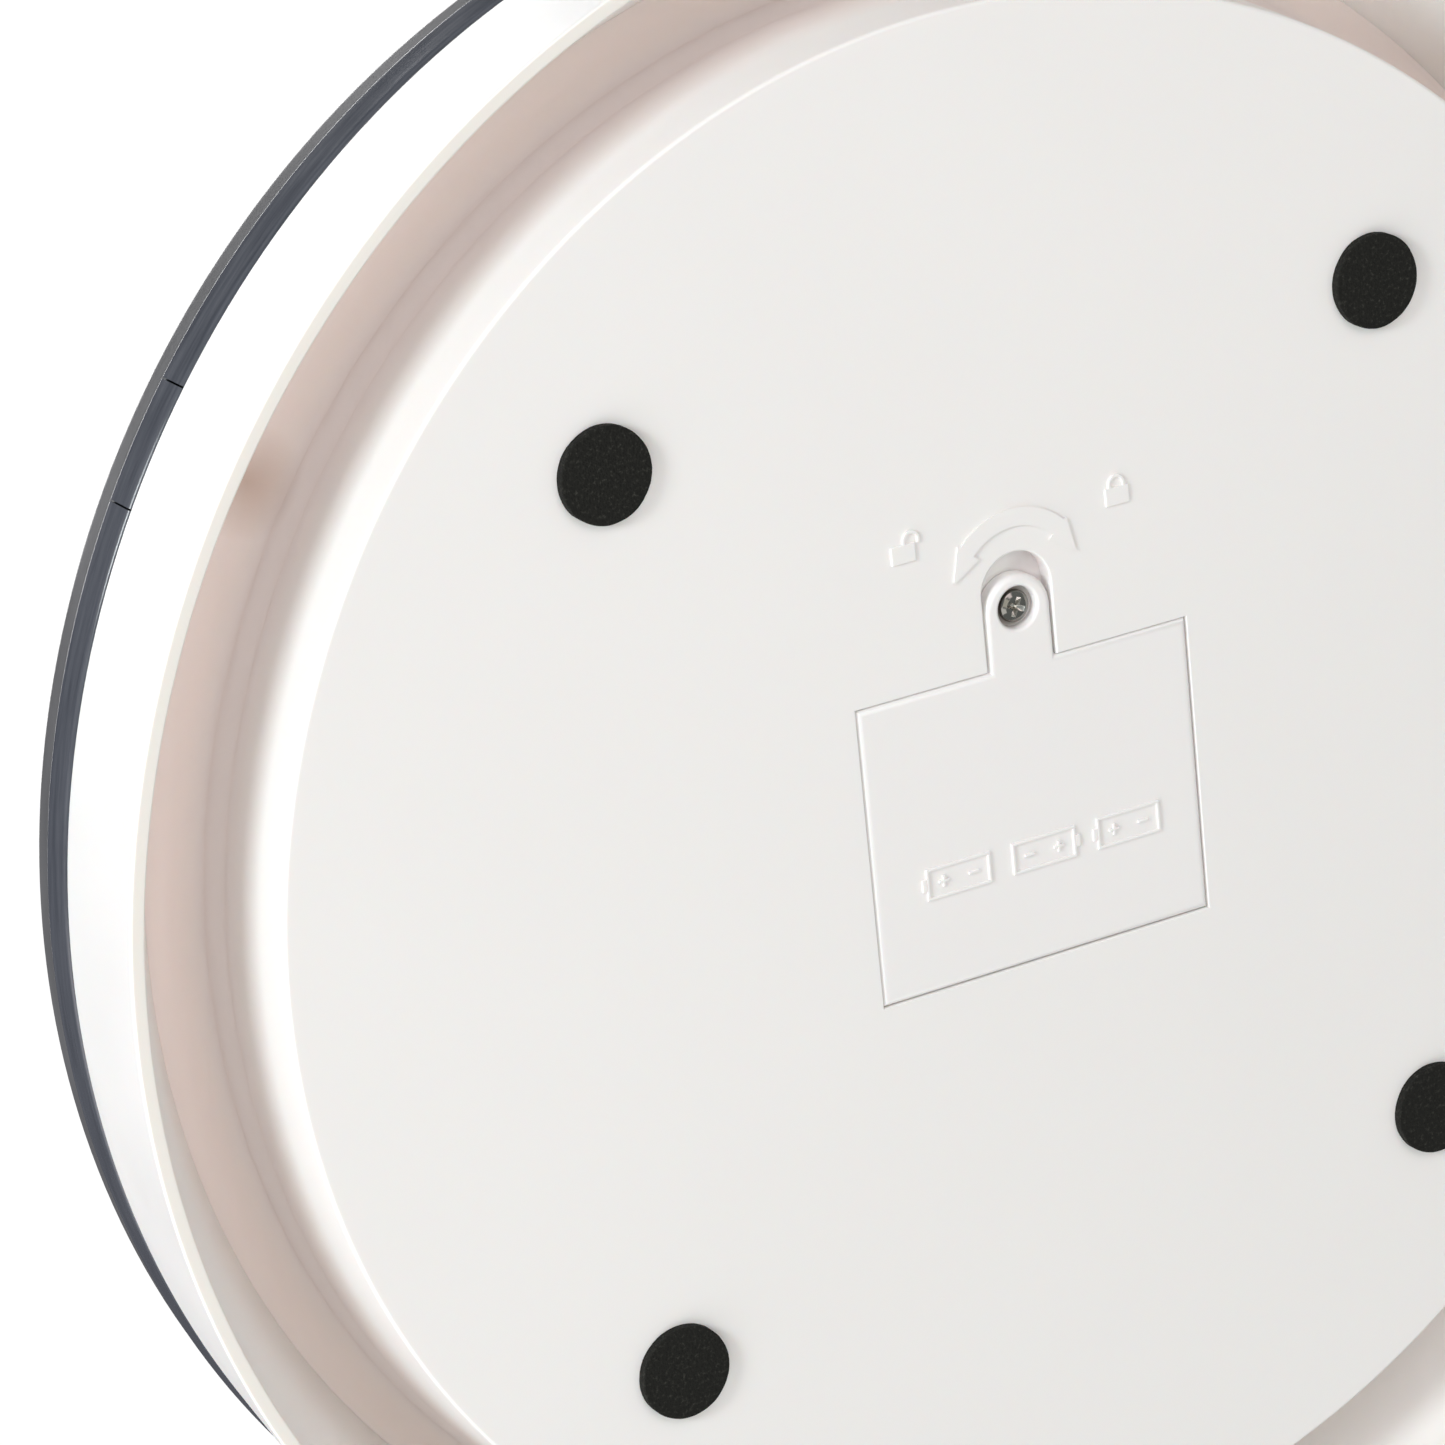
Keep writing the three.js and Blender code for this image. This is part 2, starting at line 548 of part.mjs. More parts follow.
add('base_pan', basePan(), WHITE);
add('skirt_ring', skirtRing(), WHITE);
FOOT_PLACES.forEach(([x, y], i) => add(`foam_foot_${i + 1}`, foamFoot(), FOAM, x, y));
add('screw_insert', insert(), BRASS, COVER.x, TAB.y);

add('battery_cover', batteryCover(), COVER_WHITE);
add('screw_retaining_ring', retainer(), NYLON, COVER.x, TAB.y);
add('battery_screw', crossHeadScrew(SCREW), NICKEL, COVER.x, TAB.y);

[-1, 1, -1].forEach((sign, i) => {
  const x = COVER.x + sign * CELL_SHIFT;
  add(`battery_cell_${i + 1}`, cell(sign), CELL_WRAP, x, (i - 1) * CELL.pitch, CELL.z);
});
const LINK_W = CELL.pitch + CONTACT.w;
add('battery_contact_positive', contact(-1, -CELL.pitch, CONTACT.w, null, -CELL.pitch), NICKEL);
add('battery_contact_link_1', contact(1, -CELL.pitch / 2, LINK_W, -CELL.pitch, null), NICKEL);
add('battery_contact_link_2', contact(-1, CELL.pitch / 2, LINK_W, 0, null), NICKEL);
add('battery_contact_negative', contact(1, CELL.pitch, CONTACT.w, CELL.pitch, CELL.pitch), NICKEL);
add('battery_lead_positive', batteryLead(-1), RED);
add('battery_lead_negative', batteryLead(1), BLACK);

postPlaces().forEach(([x, y], i) => {
  add(`load_button_${i + 1}`, loadButton(), STEEL, x, y);
  add(`load_cell_holder_${i + 1}`, sensorHolder(), HOLDER_GREY, x, y);
  add(`load_cell_plate_${i + 1}`, sensorPlate(), STEEL, x, y);
  add(`load_cell_cable_${i + 1}`, sensorCable(Math.sign(x), y > 0), CABLE_GREY);
});
STUDS.forEach(([x, y], i) => add(`shoulder_screw_${i + 1}`, shoulderScrew(), STEEL, x, y));

add('platform_tray', tray(), TRAY_BLACK);
add('trim_band', trimBand(), BAND_GREY);
add('trim_band_joiner', bandJoiner(), BAND_GREY);
add('glass_adhesive', adhesive(), TAPE_BLACK);
add('glass_platform', glass(), GLASS_DARK);
add('display_lcd', block(0, DISPLAY_Y, LCD.w, LCD.d, LCD.z0, LCD.z1), LCD_GREY);
add('display_light_guide', block(0, DISPLAY_Y, 70, 30, 36.5, 38.25), GUIDE_WHITE);
add('main_board', mainBoard(), BOARD_GREEN);
boardScrewPlaces().forEach(([x, y], i) => add(`board_screw_${i + 1}`, boardScrew(), STEEL, x, y));

export default scale;
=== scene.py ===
"""The looks of a round bathroom scale that is seen from below.

Lengths are in millimetres, and MM turns them to metres."""

import json
import math

import bmesh
import bpy
from mathutils import Matrix, Vector, noise


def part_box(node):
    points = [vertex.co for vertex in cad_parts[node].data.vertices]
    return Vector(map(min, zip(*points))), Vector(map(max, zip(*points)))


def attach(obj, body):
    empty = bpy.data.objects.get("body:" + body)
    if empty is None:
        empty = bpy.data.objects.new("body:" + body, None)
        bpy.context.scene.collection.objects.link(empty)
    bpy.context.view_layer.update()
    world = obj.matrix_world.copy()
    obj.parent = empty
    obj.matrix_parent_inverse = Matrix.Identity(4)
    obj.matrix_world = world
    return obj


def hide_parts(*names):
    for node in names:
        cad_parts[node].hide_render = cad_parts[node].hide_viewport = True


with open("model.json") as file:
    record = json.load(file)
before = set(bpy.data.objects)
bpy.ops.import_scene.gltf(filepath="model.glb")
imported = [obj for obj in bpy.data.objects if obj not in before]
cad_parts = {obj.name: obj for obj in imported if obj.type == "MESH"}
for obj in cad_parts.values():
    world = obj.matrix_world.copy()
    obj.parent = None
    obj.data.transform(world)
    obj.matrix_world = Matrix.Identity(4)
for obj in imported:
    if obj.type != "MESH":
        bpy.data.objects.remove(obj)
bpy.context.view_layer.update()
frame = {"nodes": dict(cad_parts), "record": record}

MM = 0.001
RING_STEPS = 288        # facets round the large rings
SMALL_STEPS = 64        # facets round a screw or a foot

# ---- sizes, in millimetres -----------------------------------------------------------------------
FACE_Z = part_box("foam_foot_1")[1].z / MM       # underside of the base
DISC_R = 128.2
DISC_TOP_R = 130.0
CEILING_Z = 30.25
WALL_BEND, CEILING_BEND = 15.0, 7.3   # how far the bend from wall to ceiling reaches along each
FLANGE_R = 137.49       # the flange's rim, which the skirt hides
FLANGE_TOP_Z = 32.5
SKIRT_IN_R = 137.5
LIP_IN_R, LIP_OUT_R, LIP_Z = 149.6, 151.9, 3.1
RIM_R, RIM_Z = 148.15, 34.25
SKIRT_WALL = 2.1
COVER_X = 0.5
COVER_W, COVER_D, COVER_T = 60.0, 48.8, 2.25
COVER_GAP = 0.09
TAB_W, TAB_T, TAB_Y = 11.8, 2.6, -33.5
RECESS_Y, RECESS_R, RECESS_DEPTH = -36.65, 6.2, 2.8
BOX_W, BOX_D, BOX_TOP_Z = 57.6, 46.4, 22.0     # the battery box: its inside, and its roof
BOX_WALL = 2.0
TONGUE_X = 18.0         # the cover's two tongues stand this far from its middle
POST_R = 8.5            # the post that holds the screw's insert
CONTACT_X, CONTACT_Y = 28.55, 15.2             # the slots of the battery contacts in the box's roof
MARK_HEIGHT, MARK_EDGE = 0.33, 0.1             # the raised marks and their rounding
GLASS_R, GLASS_Z, GLASS_TOP_Z = 147.4, 42.0, 47.0
DISPLAY_Y = 93.0
WINDOW_W, WINDOW_D, WINDOW_CORNER = 70.0, 30.0, 3.0


# ---- nodes of a material -------------------------------------------------------------------------
class Nodes:
    """A material's node tree, with short ways to add and join nodes."""

    def __init__(self, name):
        self.material = bpy.data.materials.new(name)
        self.material.use_nodes = True
        self.tree = self.material.node_tree
        self.shader = self.tree.nodes["Principled BSDF"]
        self.place = self.add("ShaderNodeTexCoord").outputs["Object"]

    def add(self, kind, **settings):
        node = self.tree.nodes.new(kind)
        for key, value in settings.items():
            if key in node.inputs:
                node.inputs[key].default_value = value
            else:
                setattr(node, key, value)
        return node

    def link(self, source, target):
        self.tree.links.new(source, target)

    def set(self, **values):
        for key, value in values.items():
            self.shader.inputs[key.replace("_", " ")].default_value = value

    def noise(self, scale, detail=3.0, roughness=0.5, stretch=(1, 1, 1), distortion=0.0):
        mapping = self.add("ShaderNodeMapping")
        mapping.inputs["Scale"].default_value = stretch
        self.link(self.place, mapping.inputs["Vector"])
        texture = self.add("ShaderNodeTexNoise", Scale=scale, Detail=detail, Roughness=roughness)
        texture.inputs["Distortion"].default_value = distortion
        self.link(mapping.outputs["Vector"], texture.inputs["Vector"])
        return texture.outputs["Fac"]

    def ramp(self, factor, *stops):
        """A colour ramp through (place, colour) stops."""
        node = self.add("ShaderNodeValToRGB")
        elements = node.color_ramp.elements
        while len(elements) < len(stops):
            elements.new(0.5)
        for element, (place, color) in zip(elements, stops):
            element.position = place
            element.color = (*color, 1)
        self.link(factor, node.inputs["Fac"])
        return node.outputs["Color"]

    def spread(self, factor, low, high, start=0.3, end=0.7):
        """A number that goes from low to high as factor goes from start to end."""
        node = self.add("ShaderNodeMapRange")
        for key, value in zip(("From Min", "From Max", "To Min", "To Max"), (start, end, low, high)):
            node.inputs[key].default_value = value
        self.link(factor, node.inputs["Value"])
        return node.outputs["Result"]

    def mix(self, factor, first, second, blend="MIX"):
        """Two colours mixed by factor. Each is a socket or a fixed colour."""
        node = self.add("ShaderNodeMix", data_type="RGBA", blend_type=blend)
        sockets = (node.inputs[0], node.inputs[6], node.inputs[7])
        for source, socket in zip((factor, first, second), sockets):
            if isinstance(source, bpy.types.NodeSocket):
                self.link(source, socket)
            else:
                socket.default_value = source
        return node.outputs[2]

    def color(self, source):
        self.link(source, self.shader.inputs["Base Color"])

    def rough(self, source):
        self.link(source, self.shader.inputs["Roughness"])

    def bump(self, height, distance, strength=1.0):
        """A bump of `distance` millimetres. Bumps stack in the order they are made."""
        node = self.add("ShaderNodeBump", Strength=strength, Distance=distance * MM)
        self.link(height, node.inputs["Height"])
        before = self.shader.inputs["Normal"].links
        if before:
            self.link(before[0].from_socket, node.inputs["Normal"])
        self.link(node.outputs["Normal"], self.shader.inputs["Normal"])


def tinted(color, factor):
    return tuple(min(1.0, channel * factor) for channel in color)


# ---- materials -----------------------------------------------------------------------------------
def moulded_plastic(name, color, roughness, grain=0.012, variation=0.02, subsurface=0.0):
    nodes = Nodes(name)
    broad = nodes.noise(14, detail=2)
    nodes.color(nodes.ramp(broad, (0.3, tinted(color, 1 - variation)), (0.7, tinted(color, 1 + variation))))
    nodes.rough(nodes.spread(nodes.noise(90, detail=4), roughness - 0.05, roughness + 0.05))
    nodes.bump(nodes.noise(2600, detail=2), grain)
    nodes.bump(nodes.noise(30, detail=1), grain * 2)
    if subsurface:
        nodes.set(Subsurface_Weight=subsurface, Subsurface_Scale=0.002, Subsurface_Radius=(1.0, 0.45, 0.3))
    return nodes.material


def white_plastic(name, color, fade=None, marks=()):
    """White moulded ABS with a satin skin, faint flow shades and a few tiny specks.

    The `fade` is a tint and the two heights, in millimetres, between which it comes in. Each of the marks
    is a soft darker spot: the place of its middle, how far it reaches in millimetres, its strength and its
    tint. Where a mark darkens a hollow, it is painted shade."""
    nodes = Nodes(name)
    flow = nodes.noise(9, detail=2, stretch=(1, 1, 2.5), distortion=0.6)
    skin = nodes.ramp(flow, (0.3, tinted(color, 0.992)), (0.7, tinted(color, 1.006)))
    specks = nodes.add("ShaderNodeTexVoronoi", Scale=75.0, Randomness=1.0)
    nodes.link(nodes.place, specks.inputs["Vector"])
    dots = nodes.ramp(specks.outputs["Distance"], (0.0, (1, 1, 1)), (0.022, (0, 0, 0)))
    rare = nodes.ramp(specks.outputs["Color"], (0.9, (0, 0, 0)), (0.93, (1, 1, 1)))
    spots = nodes.mix(1.0, dots, rare, "MULTIPLY")
    skin = nodes.mix(spots, skin, (0.5, 0.45, 0.38, 1))
    if fade:
        tint, start, end = fade
        place = nodes.add("ShaderNodeSeparateXYZ")
        nodes.link(nodes.place, place.inputs["Vector"])
        depth = nodes.spread(place.outputs["Z"], 0.0, 1.0, start=start * MM, end=end * MM)
        skin = nodes.mix(depth, skin, (*tint, 1), "MULTIPLY")
    for place, reach, strength, tint in marks:
        away = nodes.add("ShaderNodeVectorMath", operation="DISTANCE")
        nodes.link(nodes.place, away.inputs[0])
        away.inputs[1].default_value = Vector(place) * MM
        spot = nodes.spread(away.outputs["Value"], strength, 0.0, start=0.0, end=reach * MM)
        skin = nodes.mix(spot, skin, (*tint, 1), "MULTIPLY")
    nodes.color(skin)
    nodes.rough(nodes.spread(nodes.noise(60, detail=4), 0.36, 0.46))
    nodes.bump(nodes.noise(1900, detail=2), 0.006)
    nodes.bump(nodes.noise(22, detail=1), 0.03)
    nodes.set(Subsurface_Weight=0.15, Subsurface_Scale=0.0025, Subsurface_Radius=(1.0, 0.5, 0.32))
    nodes.set(Specular_IOR_Level=0.45)
    return nodes.material


def foam():
    """Die-cut closed-cell foam: near black, with grey cells and an open, grainy skin."""
    nodes = Nodes("foot_foam")
    cells = nodes.add("ShaderNodeTexVoronoi", Scale=2600.0)
    nodes.link(nodes.place, cells.inputs["Vector"])
    skin = nodes.noise(1500, detail=5, roughness=0.7)
    nodes.color(nodes.ramp(skin, (0.3, (0.007, 0.007, 0.006)), (0.55, (0.013, 0.013, 0.011)),
                           (0.72, (0.05, 0.05, 0.043))))
    nodes.rough(nodes.spread(skin, 0.8, 0.98))
    nodes.bump(cells.outputs["Distance"], 0.12)
    nodes.bump(nodes.noise(240, detail=3), 0.12)
    nodes.set(Specular_IOR_Level=0.2)
    return nodes.material


def band_plastic():
    """Glossy dark moulding with faint rub marks along the band."""
    nodes = Nodes("trim_grey")
    marks = nodes.noise(60, detail=5, roughness=0.65, stretch=(1, 1, 14))
    nodes.color(nodes.ramp(marks, (0.3, (0.052, 0.057, 0.070)), (0.7, (0.086, 0.092, 0.109))))
    nodes.rough(nodes.spread(marks, 0.14, 0.24))
    nodes.bump(nodes.noise(35, detail=2, stretch=(1, 1, 6)), 0.03)
    nodes.set(Specular_IOR_Level=0.45)
    return nodes.material


def metal(name, color, roughness, stretch=(1, 1, 1), scale=900, grain=0.004):
    nodes = Nodes(name)
    streaks = nodes.noise(scale, detail=4, stretch=stretch)
    nodes.color(nodes.ramp(streaks, (0.25, tinted(color, 0.86)), (0.75, tinted(color, 1.08))))
    nodes.rough(nodes.spread(streaks, roughness - 0.07, roughness + 0.1))
    nodes.bump(streaks, grain)
    nodes.set(Metallic=1.0)
    return nodes.material


def ground_edge():
    """The ground edge of tempered glass: a satin grey with soft marks round the rim."""
    nodes = Nodes("glass_ground_edge")
    grind = nodes.noise(40, detail=2, stretch=(1, 1, 9))
    nodes.color(nodes.ramp(grind, (0.3, (0.088, 0.088, 0.092)), (0.7, (0.112, 0.112, 0.117))))
    nodes.rough(nodes.spread(grind, 0.36, 0.44))
    return nodes.material


def clear_glass():
    nodes = Nodes("glass_clear")
    nodes.color(nodes.ramp(nodes.noise(8, detail=1), (0.3, (0.90, 0.95, 0.94)), (0.7, (0.92, 0.96, 0.95))))
    nodes.rough(nodes.spread(nodes.noise(25, detail=2), 0.0, 0.025))
    nodes.set(Transmission_Weight=1.0, IOR=1.5)
    return nodes.material


def glass_print():
    """Ink on the back of the glass: charcoal, with a very fine mottle."""
    nodes = Nodes("glass_print")
    mottle = nodes.noise(700, detail=3)
    nodes.color(nodes.ramp(mottle, (0.3, (0.028, 0.030, 0.033)), (0.7, (0.038, 0.040, 0.044))))
    nodes.rough(nodes.spread(mottle, 0.4, 0.55))
    return nodes.material


def circuit_board():
    nodes = Nodes("board_green")
    weave = nodes.add("ShaderNodeTexBrick", Scale=260.0)
    weave.inputs["Color1"].default_value = (0.012, 0.10, 0.045, 1)
    weave.inputs["Color2"].default_value = (0.016, 0.13, 0.06, 1)
    weave.inputs["Mortar"].default_value = (0.02, 0.17, 0.08, 1)
    nodes.link(nodes.place, weave.inputs["Vector"])
    nodes.color(weave.outputs["Color"])
    nodes.rough(nodes.spread(nodes.noise(120), 0.3, 0.5))
    nodes.bump(weave.outputs["Fac"], 0.02)
    return nodes.material


def rubbery(name, color):
    nodes = Nodes(name)
    dust = nodes.noise(300, detail=4)
    nodes.color(nodes.ramp(dust, (0.3, tinted(color, 0.85)), (0.75, tinted(color, 1.3))))
    nodes.rough(nodes.spread(dust, 0.5, 0.68))
    nodes.bump(dust, 0.01)
    return nodes.material


# Soft darker spots in the white plastic: place of the middle, reach, strength and tint. The spots in the
# recess and in the screw's dish are painted shade.
# A soft brownish darker spot on the channel's ceiling, beside the lip.
CHANNEL_DARK_SPOT = ((-111.8, -74.8, 29.5), 9, 0.75, (0.62, 0.52, 0.45))
# Painted shade: a darker, pinker spot on the recess floor, where the key light doesn't reach.
RECESS_PAINTED_SHADE = ((COVER_X + 5.4, RECESS_Y - 2.6, 8.3), 6.75, 1.3, (0.68, 0.59, 0.61))
# Painted shade: a dark brown ring on the floor of the screw's dish, round the head.
SCREW_DISH_PAINTED_SHADE = ((COVER_X - 0.6, TAB_Y - 0.3, 6.5), 5.6, 3.0, (0.25, 0.205, 0.175))
SKIRT_WHITE = white_plastic("skirt_white", (0.885, 0.872, 0.848), ((0.975, 0.955, 0.925), 4.2, 3.4))
OUTER_WHITE = white_plastic("skirt_outer_white", (0.885, 0.872, 0.852))
MATERIALS = {
    # The base's tint, which comes in between 9 and 17 mm up, is painted shade: the channel's wall and
    # ceiling grow pinker and darker with depth.
    "base_white": white_plastic("base_white", (0.885, 0.865, 0.85), ((1.0, 0.895, 0.865), 9, 17),
                                (CHANNEL_DARK_SPOT, RECESS_PAINTED_SHADE)),
    "cover_white": white_plastic("cover_white", (0.885, 0.863, 0.852), marks=(SCREW_DISH_PAINTED_SHADE,)),
    "foot_foam": foam(),
    "trim_grey": band_plastic(),
    "glass_dark": clear_glass(),
    "tray_black": moulded_plastic("tray_black", (0.018, 0.018, 0.02), 0.55, grain=0.02, variation=0.15),
    "steel": metal("steel", (0.52, 0.52, 0.51), 0.36, stretch=(1, 9, 1)),
    "nickel": metal("nickel", (0.62, 0.605, 0.57), 0.2, scale=700),
    "brass": metal("brass", (0.63, 0.46, 0.2), 0.3, stretch=(1, 1, 8)),
    "holder_grey": moulded_plastic("holder_grey", (0.04, 0.042, 0.046), 0.5, variation=0.1),
    "board_green": circuit_board(),
    "lcd_grey": moulded_plastic("lcd_grey", (0.27, 0.31, 0.26), 0.2, grain=0.002, variation=0.04),
    "guide_white": moulded_plastic("guide_white", (0.85, 0.85, 0.82), 0.35, subsurface=0.3),
    "cell_wrap": metal("cell_wrap", (0.05, 0.11, 0.19), 0.28, stretch=(1, 6, 6), scale=250),
    "tape_black": rubbery("tape_black", (0.012, 0.012, 0.012)),
    "nylon": moulded_plastic("nylon", (0.74, 0.71, 0.62), 0.4, subsurface=0.2),
    "wire_red": rubbery("wire_red", (0.35, 0.02, 0.015)),
    "wire_black": rubbery("wire_black", (0.012, 0.012, 0.012)),
    "wire_grey": rubbery("wire_grey", (0.18, 0.18, 0.19)),
}
NODE_SLOTS = {part["node"]: part["material_slot"] for part in frame["record"]["subparts"]}
for node_name, node_object in frame["nodes"].items():
    node_object.data.materials.clear()
    node_object.data.materials.append(MATERIALS[NODE_SLOTS[node_name]])


# ---- shapes --------------------------------------------------------------------------------------
def smooth_by_angle(mesh, degrees=32):
    mesh.polygons.foreach_set("use_smooth", [True] * len(mesh.polygons))
    mesh.set_sharp_from_angle(angle=math.radians(degrees))


def to_object(name, bm, *materials, degrees=32):
    """An object made of a bmesh in millimetres, with its faces pointing out."""
    bmesh.ops.remove_doubles(bm, verts=bm.verts, dist=1e-4)
    bmesh.ops.recalc_face_normals(bm, faces=bm.faces)
    bmesh.ops.scale(bm, verts=bm.verts, vec=(MM, MM, MM))
    mesh = bpy.data.meshes.new(name)
    bm.to_mesh(mesh)
    bm.free()
    for material in materials:
        mesh.materials.append(material)
    smooth_by_angle(mesh, degrees)
    piece = bpy.data.objects.new(name, mesh)
    bpy.context.scene.collection.objects.link(piece)
    return piece


def rounded(corners, closed=False, steps=5):
    """A profile whose (x, y, radius) corners become arcs.

    A support point on each side of an arc keeps the flats beside it flat."""
    count = len(corners)
    points = []
    for i, (x, y, radius) in enumerate(corners):
        here = Vector((x, y))
        if radius == 0 or (not closed and i in (0, count - 1)):
            points.append(here)
            continue
        to_last = Vector(corners[i - 1][:2]) - here
        to_next = Vector(corners[(i + 1) % count][:2]) - here
        half = to_last.angle(to_next) / 2
        reach = radius / math.tan(half)
        start = here + to_last.normalized() * reach
        end = here + to_next.normalized() * reach
        inward = (to_last.normalized() + to_next.normalized()).normalized()
        centre = here + inward * (radius / math.sin(half))
        support = min(0.25 * radius + 0.03, 0.2 * min(to_last.length, to_next.length))
        points.append(start + to_last.normalized() * support)
        first, last = start - centre, end - centre
        turn = first.angle_signed(last)
        for step in range(steps + 1):
            angle = -turn * step / steps
            spoke = Vector((first.x * math.cos(angle) - first.y * math.sin(angle),
                            first.x * math.sin(angle) + first.y * math.cos(angle)))
            points.append(centre + spoke)
        points.append(end + to_next.normalized() * support)
    return [(p.x, p.y) for p in points]


def bend(start, corner, end, steps=24, pull=0.66):
    """The points after `start` of a bend round a corner, whose curve grows and fades gently."""
    a, b = start.lerp(corner, pull), end.lerp(corner, pull)
    points = []
    for i in range(1, steps + 1):
        t = i / steps
        u = 1 - t
        point = start * u ** 3 + a * (3 * t * u ** 2) + b * (3 * t * t * u) + end * t ** 3
        points.append((point.x, point.y))
    return points


def revolve(points, closed=False, steps=RING_STEPS, start=0.0, sweep=360.0):
    """A bmesh of (radius, height) points turned round Z. A part turn gets a flat face at each end."""
    bm = bmesh.new()
    whole = sweep == 360.0
    count = steps if whole else steps + 1
    rings = []
    for i in range(count):
        angle = math.radians(start + sweep * i / steps)
        c, s = math.cos(angle), math.sin(angle)
        rings.append([bm.verts.new((r * c, r * s, z)) for r, z in points])
    pairs = range(count) if whole else range(steps)
    last = len(points) if closed else len(points) - 1
    for i in pairs:
        a, b = rings[i], rings[(i + 1) % count]
        for j in range(last):
            k = (j + 1) % len(points)
            bm.faces.new((a[j], a[k], b[k], b[j]))
    if not whole:
        bm.faces.new(rings[0])
        bm.faces.new(rings[-1])
    bmesh.ops.remove_doubles(bm, verts=bm.verts, dist=1e-5)
    return bm


def prism(outline, z0, z1, edge=0.0):
    """A bmesh of an anticlockwise outline between two heights.

    Its lower end is rounded by `edge`. If that is positive the end is rounded inwards, and a wide
    rounding gets a support loop on the flat. If it is negative the prism flares out and reaches
    lower, so that what it cuts gets a rounded rim."""
    levels = [(z0, 0.0)]
    if edge:
        size, steps = abs(edge), 5
        heights = [size * (1 - math.cos(math.pi / 2 * i / steps)) for i in range(steps + 1)]
        insets = [size * (1 - math.sin(math.pi / 2 * i / steps)) for i in range(steps + 1)]
        levels = [(z0 + height, -math.copysign(inset, edge)) for height, inset in zip(heights, insets)]
        if edge < 0:
            levels.insert(0, (z0 - 0.1, size))
        elif edge > 0.3:
            levels.insert(0, (z0, -size - 0.05))
    levels.append((z1, 0.0))
    bm = bmesh.new()
    loops = [[bm.verts.new((x, y, z)) for x, y in grown(outline, out)] for z, out in levels]
    for low, high in zip(loops, loops[1:]):
        for i in range(len(outline)):
            k = (i + 1) % len(outline)
            bm.faces.new((low[i], low[k], high[k], high[i]))
    bm.faces.new(loops[0])
    bm.faces.new(loops[-1])
    return bm


def grown(outline, out):
    """An anticlockwise outline with every side moved out by the same distance."""
    if not out:
        return outline
    result = []
    count = len(outline)
    for i, (x, y) in enumerate(outline):
        before = (Vector((x, y)) - Vector(outline[i - 1])).normalized()
        after = (Vector(outline[(i + 1) % count]) - Vector((x, y))).normalized()
        normal = Vector((before.y + after.y, -before.x - after.x))
        normal = normal.normalized() / max(0.2, math.cos(before.angle(after) / 2))
        result.append((x + normal.x * out, y + normal.y * out))
    return result


def rectangle(x, y, width, depth):
    return [(x - width / 2, y - depth / 2), (x + width / 2, y - depth / 2),
            (x + width / 2, y + depth / 2), (x - width / 2, y + depth / 2)]


def arc(x, y, radius, start, end, steps):
    angles = [math.radians(start + (end - start) * i / steps) for i in range(steps + 1)]
    return [(x + radius * math.cos(a), y + radius * math.sin(a)) for a in angles]


def tab_outline(width, back, end_y, steps=24):
    """A bar that runs from y = back down to a round end about (COVER_X, end_y)."""
    half = width / 2
    return [*arc(COVER_X, end_y, half, 180, 360, steps), (COVER_X + half, back), (COVER_X - half, back)]


def baked(target):
    """The object's mesh after its modifiers have been applied."""
    graph = bpy.context.evaluated_depsgraph_get()
    result = bpy.data.meshes.new_from_object(target.evaluated_get(graph))
    target.modifiers.clear()
    old = target.data
    target.data = result
    bpy.data.meshes.remove(old)
    return result


def keep_flats(target):
    """Lets large faces set the shading, so that a flat stays even up to its rounded rims."""
    modifier = target.modifiers.new("flats", "WEIGHTED_NORMAL")
    modifier.keep_sharp = True
    baked(target)


def combine(target, bm, operation):
    """Joins a closed bmesh to an object, or cuts it out, and keeps the object's materials."""
    tool = to_object("tool", bm)
    for material in target.data.materials:
        tool.data.materials.append(material)
    modifier = target.modifiers.new("combine", "BOOLEAN")
    modifier.object = tool
    modifier.operation = operation
    modifier.solver = "EXACT"
    smooth_by_angle(baked(target))
    bpy.data.objects.remove(tool)
    return target


def cut(target, bm):
    return combine(target, bm, "DIFFERENCE")


def join(target, bm):
    return combine(target, bm, "UNION")


def finish_piece(piece, body, slot, *nodes):
    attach(piece, body)
    if nodes:
        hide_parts(*nodes)
    return piece


